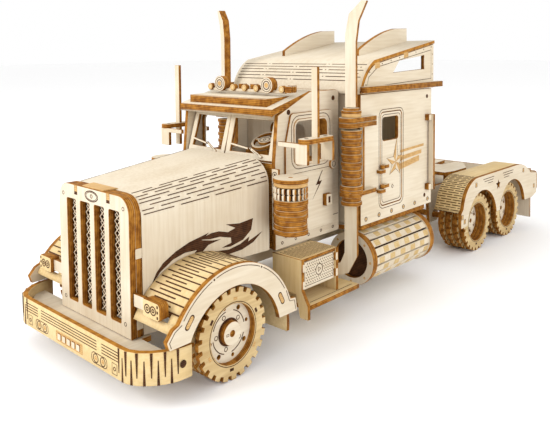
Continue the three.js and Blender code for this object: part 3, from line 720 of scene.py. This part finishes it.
# ------------------------------------------------------------------ roof lamps and horns
# Two ringed horns and five small round lamps stand in a row on the cab roof. The horns are
# stacks of discs with a brown middle, and the lamps are pegs on a slotted strip.
low, high = corners("roof_lamps")
lamps = [sheet("xz", rect(-23.5, low[2], 23.5, low[2] + 1.3), -67.5, -66)]
for x in (-22.3, -7.3, 0, 7.3, 22.3):
    lamps += [sheet("xz", circle(x, 98.2, 1.55, 16), -68.5, -66.2, material=warm_wood["y"]),
              ring("xz", x, 98.2, 1.0, -68.55, material=tan_wood),
              sheet("xz", rect(x + 1.7, 96.9, x + 4.4, 99.9), -66.2, -63.4, material=sheet_wood["z"])]
for x in (-14.7, 14.7):
    lamps += [sheet("xz", circle(x, 99.8, 3.5, 28), -69.5, -68),
              sheet("xz", circle(x, 99.8, 3.35, 28), -68, -65.8),
              ring("xz", x, 99.8, 2.75, -69.55, 0.22, 24),
              ring("xz", x, 99.8, 1.75, -69.55, 0.4, 20),
              spot("xz", x, 99.8, 1.1, -69.56, 14, material=tan_wood)]
for i in range(3):
    near = -68.4 + i * 1.3
    lamps.append(sheet("xz", rect(24.2, 96.8, 27.6, 99.6), near, near + 1.1, material=sheet_wood["z"]))
assemble("roof lamps and horns", ["roof_lamps"], *lamps)

# ------------------------------------------------------------------ seat and steering wheel
# The bench is a block of stacked profiles. The wheel is a flat ring with an oval hub and two
# spokes on a peg, tilted towards the driver on the left.
finish_node("seat", sheet_wood["x"])
rim = [sheet("xy", circle(0, 0, 6.4, 32), -0.8, 0.8, [circle(0, 0, 5.2, 28)]),
       sheet("xy", ellipse(0, 0, 3.6, 2.6), -0.8, 0.8),
       sheet("xy", rect(-5.6, -0.7, 5.6, 0.7), -0.7, 0.7),
       sheet("xy", circle(0, 0, 1.1, 10), -13, -0.8),
       groove("xy", ellipse(0, 0, 2.6, 1.7), 0.84, 0.3, closed=True),
       ring("xy", 0, 0, 0.7, 0.84, 0.3, 6)]
for mesh in rim:
    mesh.transform(Matrix.Translation((0.0105, -0.066, 0.075)) @ Matrix.Rotation(math.radians(28), 4, "X"))
assemble("steering wheel", ["steering_wheel"], *rim)

# ------------------------------------------------------------------ mirrors
# A tall flat post stands on each side of the cab, pushed through a brown cross plate. Two
# small plates hang from the ends of the cross plate and hold it to the cab.
low, high = corners("mirror_l")
x, y = high[0] - 3, (low[1] + high[1]) / 2
mirror = [sheet("xy", rounded(x - 2.6, y - 9.4, x + 2.6, y + 9.4, 2, 3), 78, 80),
          sheet("xz", rect(x - 1.7, low[2], x + 1.3, high[2]), y - 0.8, y + 0.8)]
plate = [(x - 3.4, 70), (x + 2.5, 70), (x + 2.5, 78.1), (30.3, 78.1), (30.3, 76.2), (x - 3.4, 76.2)]
for s in (-1, 1):
    mirror += [sheet("xz", plate, y + s * 8 - 0.8, y + s * 8 + 0.8),
               spot("xy", x, y + s * 6, 0.9, 80.03)]
pair("mirror", ["mirror_{}"], *mirror)

# ------------------------------------------------------------------ air cleaners
# Each is a stack of wavy ovals and rings with a ring of round bars under the cap, and a dark
# core behind the bars is painted shade, so dark gaps show between them. The cap is a cream disc
# with a hole, and the dark fill in the hole is painted shade too.
low, high = corners("air_cleaner_l")
cx, cy = high[0] - 7, (low[1] + high[1]) / 2


def wavy(r, wave, phase, sides=40):
    """Round outline whose radius swells and shrinks by wave."""
    turns = [2 * math.pi * i / sides for i in range(sides)]
    reach = [r + wave * math.sin(5 * a + phase) for a in turns]
    return [(cx + far * math.cos(a), cy + far * math.sin(a)) for far, a in zip(reach, turns)]


cleaner = [sheet("xy", circle(cx, cy, 7, 32), high[2] - 1.7, high[2], [circle(cx, cy, 0.9, 14)]),
           # Painted shade: a dark fill in the cap's hole.
           spot("xy", cx, cy, 0.95, high[2] - 0.4, 14),
           sheet("xy", circle(cx, cy, 6.7, 32), high[2] - 3.2, high[2] - 1.7, material=tan_wood),
           # Painted shade: a dark core behind the bars darkens the gaps between them.
           sheet("xy", circle(cx, cy, 5.2, 24), 56.6, high[2] - 3.2, material=burn_and_shade),
           box((30.3, cx - 5), (cy - 0.8, cy + 0.8), (46, 60))]
for i in range(18):
    a = math.radians(i * 20 + 4)
    bx, by = cx + 6.1 * math.cos(a), cy + 6.1 * math.sin(a)
    for z in (56.8, 59.2):
        cleaner.append(sheet("xy", circle(bx, by, 0.72, 8), z, z + 2.3, material=bent_wood["x"], bevel=0.3))
for i in range(7):
    z = low[2] + i * 1.96
    cleaner.append(sheet("xy", wavy(6.75 - 0.12 * (i % 3), 0.16, i * 0.9), z, z + 1.9))
pair("air cleaner", ["air_cleaner_{}"], *cleaner, slot="plywood_edge")

# ------------------------------------------------------------------ exhaust stacks
# Each silencer is a tall pile of small discs between two clamps that reach back to the
# sleeper, with a flat batten behind. The pipes above and below are flat cream strips.
ex, ey = 39.3, -42
pile = []
for i in range(19):
    z = 47.2 + i * 1.72
    swell = 5 if i in (3, 4) else (4.6, 4.15)[i % 2]
    pile.append(sheet("xy", circle(ex, ey, swell, 24), z, z + 1.66, bevel=0.22))
upper_clamp = [(ex - 4.6, ey - 3), (ex - 2.5, ey - 5.2), (ex + 2.5, ey - 5.2), (ex + 3.7, ey - 3),
               (43, -28), (40.3, -28), (40.3, -35.8), (ex - 4.6, -36.5)]
lower_clamp = [(ex - 3, ey - 4.6), (ex + 2.8, ey - 4.6), (ex + 3.7, ey), (43, -28), (40.3, -28),
               (40.3, -36.3), (ex - 3, -36.8)]
pile += [sheet("xy", upper_clamp, 81, 83.1),
         sheet("xy", upper_clamp, 83.3, 85.4),
         sheet("xy", lower_clamp, 51, 53),
         sheet("xy", circle(ex, ey, 4.3, 24), 85.6, 87.2, material=tan_wood),
         sheet("xy", circle(ex, ey, 4.4, 24), 87.2, 88.4),
         sheet("xy", circle(ex, ey, 3.6, 24), 88.4, 89.5),
         sheet("xz", rect(ex + 1.4, 53, ex + 3, 81), ey + 4.2, ey + 5.8)]
pair("silencer", ["muffler_{}"], *pile, slot="plywood_edge")
turned_wood = {s: wood(f"plywood sheet turned {s}", (-0.375 * s, 0.927, 0)) for s in (1, -1)}
for side, s in (("l", 1), ("r", -1)):
    finish_node(f"stack_pipe_{side}", turned_wood[s])
    finish_node(f"down_pipe_{side}", turned_wood[s])

# ------------------------------------------------------------------ sleeper sides and doors
# Tall cream sheets with a hinged door, an engraved door surround, a row of filled peg holes
# and a grab rail. A star and three stripes are cut shallow across the door and the wall.
low, high = corners("sleeper_side_l")
wall = 40
y0, z0, z1 = low[1], low[2], high[2]
leaf = rounded(-20.2, 42.7, -2.2, 85.7, 2.2, 4)
doorway = rounded(-20.5, 42.4, -1.9, 86, 2.4, 4)
side_wall = [sheet("yz", rect(y0, z0, 26, z1), wall - 2, wall, [doorway]),
             groove("yz", rounded(-21.6, 41.3, -0.8, 87.1, 3.2, 4), wall + 0.04, 0.28, closed=True)]
for y in (-32, -21.5, -11, -0.5, 10, 22.5):
    side_wall += [ring("yz", y, 38.8, 0.95, wall + 0.04),
                  spot("yz", y, 38.8, 0.6, wall + 0.03, 10, material=tan_wood)]
for y, z in ((21.5, 91), (19.4, 41.2)):
    side_wall.append(spot("yz", y, z, 1.0, wall + 0.03, 14))
side_wall += [sheet("xz", rect(wall + 0.7, 44, wall + 3.4, 82), 22, 23.8),
              box((wall, wall + 2.4), (19.6, 22), (79, 82)), box((wall, wall + 2.4), (19.6, 22), (44, 47))]
for z in (58.2, 49.2):
    side_wall += [box((wall - 0.2, wall + 2.3), (-23.5, -19.4), (z, z + 1.6), "z"),
                  sheet("xy", circle(41.2, -20.4, 0.6, 10), z + 1, z + 3.4)]


def star(y, z, r, first=90):
    """Ten points of a five-pointed star."""
    turns = [math.radians(first + 36 * i) for i in range(10)]
    reach = [r, r * 0.4] * 5
    return [(y + far * math.cos(a), z + far * math.sin(a)) for far, a in zip(reach, turns)]


centre = (-7.3, 61.6)
points = star(*centre, 8.2)
points[0] = (-6.4, 73.2)
points[4], points[6] = (-12.6, 56.2), (-3.4, 55.4)
facets = [[centre, points[i], points[i + 1]] for i in range(0, 10, 2)]
stripes = [[(-3.2, 65.4), (19, 66.4), (18.4, 67.6), (-4.6, 66.6)],
           [(-3.6, 61.6), (17.2, 63.0), (16.2, 64.8), (-2.6, 63.8)],
           [(-4.2, 57.2), (15, 59.6), (14, 62.2), (-3.8, 60.2)]]


def shear(shape, y_low, y_high):
    """The part of a slanted stripe between two y values."""
    def at(a, b, y):
        return (y, a[1] + (b[1] - a[1]) * (y - a[0]) / (b[0] - a[0]))
    lower, upper = (shape[0], shape[1]), (shape[3], shape[2])
    start, end = max(y_low, shape[0][0]), min(y_high, shape[2][0])
    return [at(*lower, start), at(*lower, end), at(*upper, end), at(*upper, start)]


side_wall += [patch("yz", shear(s, -1.8, 30), wall + 0.03, tan_wood) for s in stripes]
pair("sleeper side", ["sleeper_side_{}"], *side_wall)

pane = rounded(-18.6, 72.5, -5.1, 83.4, 1.3, 3)
hatch = [sheet("yz", leaf, wall - 2, wall - 0.1, [pane]),
         groove("yz", rounded(-19.1, 43.8, -3.3, 84.6, 2, 4), wall - 0.06, 0.25, closed=True),
         groove("yz", points, wall - 0.05, 0.22, closed=True),
         ring("yz", -10.2, 50.4, 0.9, wall - 0.05, 0.3, 4)]
hatch += [patch("yz", f, wall - 0.06, tan_wood) for f in facets]
hatch += [patch("yz", shear(s, -20, -2.3), wall - 0.07, tan_wood) for s in stripes]
for z in (60.2, 51.2):
    knuckle = sheet("xy", circle(41.2, -20.4, 1.1, 16), z, z + 1.6, [circle(41.2, -20.4, 0.8, 12)])
    hatch += [knuckle, box((wall - 0.2, 42.1), (-19.3, -16.2), (z, z + 1.6), "z")]
pair("sleeper door", ["sleeper_door_{}"], *hatch, body="sleeper_door_{}")

# ------------------------------------------------------------------ sleeper front, back and roof
# Cross sheets close the sleeper. Its roof is one thin skin bent over the front, slit in
# dashed rows; two curved fins stand on it. The gable sheets have a cut window and a brown shelf.
finish_node("sleeper_front", sheet_wood["y"])
finish_node("sleeper_back", sheet_wood["y"])
low, high = corners("sleeper_back")
panel = [groove("xz", rounded(low[0] + 3, 40, high[0] - 3, 92, 2, 3), high[1] + 0.03, 0.3, closed=True),
         groove("xz", rounded(-14, 70, 14, 86, 2, 3), high[1] + 0.03, 0.3, closed=True)]
panel += [groove("xz", [(-30, z), (30, z)], high[1] + 0.03, 0.3) for z in (50, 53, 56, 59)]
for px in (low[0] + 6, high[0] - 6):
    panel += [ring("xz", px, z, 0.9, high[1] + 0.03) for z in (44, 89)]
assemble("sleeper back engraving", [], *panel)


def smooth(start, middle, end, steps):
    """Points on the curve that leaves start towards middle and arrives at end from it."""
    ways = [i / steps for i in range(steps + 1)]
    return [tuple(start.lerp(middle, t).lerp(middle.lerp(end, t), t)) for t in ways]


def roof_curve(offset, steps=10):
    """Side view of the bent roof skin, front edge first."""
    start, knee = Vector((-36.8 + offset, 95.1)), Vector((-25.4 + offset / 2, 110 - offset))
    middle = Vector((-34.5 + offset, 105.5 - offset * 0.6))
    return smooth(start, middle, knee, steps)


outer_line = roof_curve(0) + [(29, 119)]
inner_line = roof_curve(1.6) + [(29, 117.4)]
roof = [sheet("yz", outer_line + inner_line[::-1], -wall, wall, material=bent_wood["x"])]
for i in range(6):
    a, b = Vector(outer_line[i + 3]), Vector(outer_line[i + 4])
    along = (b - a).normalized() * 0.17
    out = Vector((-along.y, along.x)).normalized() * 0.05
    for k in range(-1, 3):
        x0 = -38 + k * 38 + (i % 2) * 19
        for start, end in ((x0, x0 + 34.4), (x0 + 35.9, x0 + 36.6)):
            start, end = max(start, -38.4), min(end, 38.4)
            if end > start + 0.5:
                roof.append(cross_slit(start, end, a + out, along))
fin = [(-15, 111.4)] + smooth(Vector((-15, 114.4)), Vector((2, 123.5)), Vector((17, 125.2)), 8)
fin += [(28, 125.5), (28, 118.4)]
for s in (-1, 1):
    roof.append(sheet("yz", fin, s * 23.5 - 1, s * 23.5 + 1))
assemble("sleeper roof", ["sleeper_roof"], *roof)

gable = [(-34.6, 95.1)] + [(y + 0.1, z - 0.3) for y, z in roof_curve(1.6)[1:]] + [(28, 117), (28, 95.1)]
border = [(-31.6, 97.8), (-29.8, 102.4), (-22.4, 106.8), (25.4, 114.2), (25.4, 99.8)]
window = [(-9.7, 103.7), (18.8, 104.7), (18.8, 111.6), (-4.2, 109.3)]
upper = [sheet("yz", gable, wall - 2, wall, [window]), groove("yz", border, wall + 0.04, 0.25, closed=True),
         sheet("xy", [(wall - 0.2, -33.8), (wall + 0.4, -33.8), (wall + 0.4, -37), (wall + 3, -37),
                      (wall + 3, 32), (wall - 0.2, 32)], 95.6, 98.4)]
nails = [(-19 + i * 7.4, 108.2 + i * 7.4 * 0.168) for i in range(7)]
nails += [(26.7, 102), (26.7, 107), (26.7, 112), (-29, 104.5), (-32, 99)]
upper += [spot("yz", y, z, 0.32, wall + 0.03, 8) for y, z in nails]
for y, z in ((-22.8, 107.6), (1.6, 112)):
    peg = [(y - 2, z - 1.8), (y + 2, z - 1.2), (y + 2, z + 1.6), (y - 2, z + 1)]
    upper.append(sheet("yz", peg, wall - 0.5, wall + 0.1, material=tan_wood))
pair("roof side", ["roof_side_{}"], *upper)

# ------------------------------------------------------------------ battery boxes
# A tread plate tops each box; its outer panel is pierced like chequer plate around a plain round
# mark. Slotted end frames of layered ply reach down to a step.
low, high = corners("battery_box_l")
side = 42
MARK_Y, MARK_Z = -68.2, 25.7
bracket = [(27.5, 18), (40, 18), (42, 9), (high[0], 9), (high[0], 14.6), (43, 20), (43, 32.3), (27.5, 32.3)]
locker = [sheet("yz", rect(-79.5, 19.5, -57, 31.8), side - 2, side, material=sheet_wood["x"]),
          sheet("yz", rect(-78.5, 20.5, -58, 30.8), 28, side - 2, material=tan_wood),
          sheet("xy", rect(28, -80, side + 0.6, -57), 31, 32.4, material=warm_wood["z"]),
          sheet("xz", bracket, -80.5, -78.7, material=warm_wood["y"]),
          sheet("xz", rect(27.5, 12, 43, 32.3), -58.3, -56.5, material=warm_wood["y"]),
          sheet("xy", rect(30, -79.5, high[0] - 0.3, -45.5), 12.4, 14.4, material=warm_wood["z"]),
          groove("yz", rect(-77.4, 20.8, -59, 30.6), side + 0.03, 0.25, closed=True)]
for row in range(8):
    for k in range(13):
        y, z = -76.4 + k * 1.4 + (row % 2) * 0.7, 21.8 + row * 1.1
        if (y - MARK_Y) ** 2 + (z - MARK_Z) ** 2 > 6.4:
            lean = 0.28 if row % 2 else -0.28
            locker.append(groove("yz", [(y - 0.33, z - lean), (y + 0.33, z + lean)], side + 0.03, 0.28))
locker += [ring("yz", MARK_Y, MARK_Z, 2.2, side + 0.04, 0.35, 20),
           ring("yz", MARK_Y, MARK_Z, 1.1, side + 0.04, 0.4, 3)]
for i in range(18):
    y = -78.6 + i * 1.2
    locker.append(groove("xy", [(30 + i % 2, y), (41.4, y)], 32.43, 0.3))
for z in (20.4, 27.2):
    locker += [box((side - 0.4, side + 1.2), (y, y + 1.4), (z, z + 3.2)) for y in (-79.9, -58.5)]
locker.append(groove("xy", [(43.6, -76), (43.6, -48)], 14.43, 0.3))
pair("battery box", ["battery_box_{}"], *locker)

# ------------------------------------------------------------------ fuel tanks
# Long slats lie round a dark core between two thick end rings, with open gaps between
# them; the dark core is painted shade seen through the gaps. A short square stub sticks out behind.
SMOKED = ((0.50, 0.34, 0.14, 1), (0.62, 0.46, 0.23, 1))
smoked = wood("smoked plywood", AXES["z"], face=SMOKED, edge=SMOKED)
low, high = corners("fuel_tank_l")
tx, tz, r = 33.9, 20.3, 12.1
# Painted shade: the dark core darkens the gaps between the slats.
tank = [sheet("xz", circle(tx, tz, r - 2.1, 32), -33, 17, material=burn_and_shade),
        sheet("xz", circle(tx, tz, r, 40), low[1], low[1] + 2, [circle(tx, tz, r - 3.4, 32)]),
        sheet("xz", circle(tx, tz, r - 0.3, 40), low[1] + 2, low[1] + 4, [circle(tx, tz, r - 3.4, 32)]),
        sheet("xz", circle(tx, tz, r, 40), 15, 18.6),
        sheet("xz", circle(tx, tz, r - 2.6, 32), 18.6, 20.2, material=tan_wood),
        box((tx - 1.6, tx + 1.6), (18.6, high[1]), (tz - 1.6, tz + 1.6), "x")]
for i in range(18):
    around = Matrix.Translation((tx * 0.001, 0, tz * 0.001)) @ Matrix.Rotation(math.radians(i * 20), 4, "Y")
    strip = [sheet("yz", rect(-31, -1.55, 15, 1.55), r - 1.8, r - 0.7, material=bent_wood["y"])]
    for k in range(5):
        y = -29 + (i % 2) * 4.4 + k * 8.8
        strip.append(patch("yz", rect(y, -1.3, y + 4, 1.3), r - 0.67, smoked))
    for mesh in strip:
        mesh.transform(around)
    tank += strip
for u, v in circle(tx, tz, r - 1.7, 8):
    tank.append(spot("xz", u, v, 0.6, low[1] - 0.03, 8, tan_wood))
pair("fuel tank", ["fuel_tank_{}"], *tank)

# ------------------------------------------------------------------ rear wheel covers
# One outer plate spans both wheels, with a star cut through it, engraved lines and filled
# pegs; the dark star inside the cut is painted shade. Its top skin is slit to bend down in front,
# and a mud flap hangs behind the wheels.
low, high = corners("rear_fender_l")
x = high[0]
top = [(50.8, 26)] + arc(70.5, 25.5, 17.5, 180, 90, 10)[1:] + arc(124.5, 11, 32, 90, 50, 8) + [(155.3, 34)]
lower = ([(155.3, 21), (148, 19)] + arc(117.6, WHEEL_R, 18.6, 8.5, 171, 22) + [(98.6, 19.4), (95.6, 19.4)]
         + arc(76.6, WHEEL_R, 18.6, 9.5, 174, 22) + [(54.4, 17.9), (50.8, 17.9)])
# Painted shade: a dark star inside the star cut stands for the shaded inside of the cover.
rear = [sheet("yz", top + lower, x - 2, x, [star(97.1, 35, 3.4)]),
        patch("yz", star(97.1, 35, 3.4), x - 1.2)]
skin = top + [(y + (1.6 if y < 56 else 0), z - (0 if y < 56 else 1.6)) for y, z in top[::-1]]
rear.append(sheet("yz", skin, 28, x - 2, material=warm_bent["x"]))
rear.append(sheet("xz", rect(28, 6, x - 1, 37.5), 146.8, 148.2))
for a, b, z in ((77, 91, 40.8), (78.5, 90, 39.4), (83, 89.5, 38), (103, 118, 40.8), (104, 117, 39.4),
                (104.6, 112, 38)):
    rear.append(groove("yz", [(a, z), (b, z)], x + 0.04, 0.35))
for y, z in ((68.2, 39.1), (133.3, 38.4), (51.9, 24), (150.6, 26), (54.6, 21.2)):
    rear += [groove("yz", rect(y - 1, z - 1.2, y + 1, z + 1.2), x + 0.04, 0.25, closed=True),
             patch("yz", rect(y - 0.8, z - 1, y + 0.8, z + 1), x + 0.03, tan_wood)]
front_curve = [Vector(p) for p in top[:12]]
for i in range(len(front_curve) * 2 - 3):
    a, b = front_curve[i // 2], front_curve[i // 2 + 1]
    p = a if i % 2 == 0 else a.lerp(b, 0.5)
    along = (b - a).normalized() * 0.22
    out = Vector((-along.y, along.x)).normalized() * 0.05
    for k in range(3):
        start = 27 + k * 7 - (i % 2) * 3.4
        rear.append(cross_slit(max(28.3, start), min(start + 6, x - 2.2), p + out, along))
pair("rear wheel cover", ["rear_fender_{}"], *rear)

# ------------------------------------------------------------------ coupling plate and tail
# The trailer coupling is a forked plate on two cheeks. A plain bar closes the frame at the
# back, with tail lamps engraved in it.
finish_node("fifth_wheel", sheet_wood["z"])
finish_node("tail_bar", sheet_wood["y"])
low, high = corners("tail_bar")
tail = []
for s in (-1, 1):
    for u in (s * 36, s * 30):
        tail += [ring("xz", u, 28.4, 2, high[1] + 0.03, 0.35, 16),
                 ring("xz", u, 28.4, 0.9, high[1] + 0.03)]
tail.append(groove("xz", rounded(-12, 25, 12, 31.6, 1.4, 3), high[1] + 0.03, 0.3, closed=True))
assemble("tail lamp engraving", [], *tail)

# ------------------------------------------------------------------ table
# A plain pale table top under the model. It isn't part of the truck.
floor_mesh = bpy.data.meshes.new("floor")
floor_mesh.from_pydata([(-6, -6, 0), (6, -6, 0), (6, 6, 0), (-6, 6, 0)], [], [(0, 1, 2, 3)])
floor = bpy.data.objects.new("floor", floor_mesh)
paper = bpy.data.materials.new("white table")
paper.use_nodes = True
paper.node_tree.nodes["Principled BSDF"].inputs["Base Color"].default_value = (0.97, 0.97, 0.97, 1)
paper.node_tree.nodes["Principled BSDF"].inputs["Roughness"].default_value = 0.9
floor_mesh.materials.append(paper)
bpy.context.collection.objects.link(floor)

bpy.context.view_layer.update()
